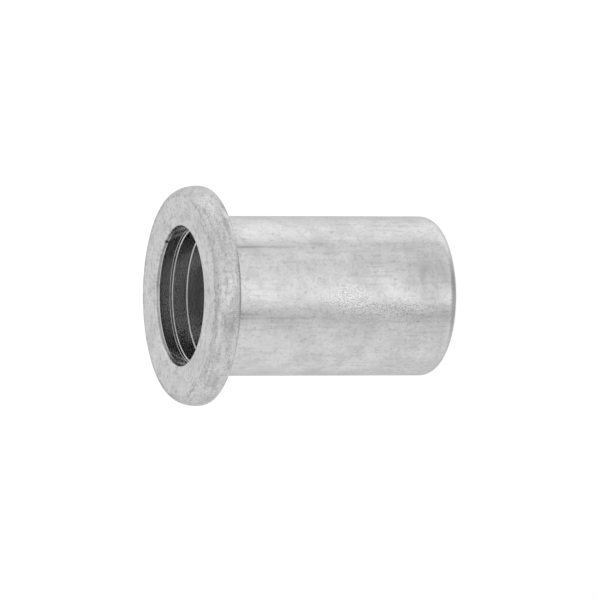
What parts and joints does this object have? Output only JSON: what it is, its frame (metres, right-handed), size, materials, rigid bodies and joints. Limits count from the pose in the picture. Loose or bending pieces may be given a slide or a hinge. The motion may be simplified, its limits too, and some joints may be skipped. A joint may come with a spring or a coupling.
{
  "type": "rivet nut",
  "caption": "Blind rivet nut with a flat round flange, a plain round body with a rounded end, a thin-walled bore and an internal thread at the far end.",
  "frame": {"origin": "centre of the flat ring at the far end of the body, on which the nut stands", "axes": "+Z along the nut's axis, from the far end towards the flange face"},
  "size_m": [0.0178, 0.0178, 0.022],
  "materials": {
    "tumbled_aluminium": "satin"
  },
  "bodies": {
    "root": {"rivet_nut": "tumbled_aluminium"}
  },
  "joints": []
}
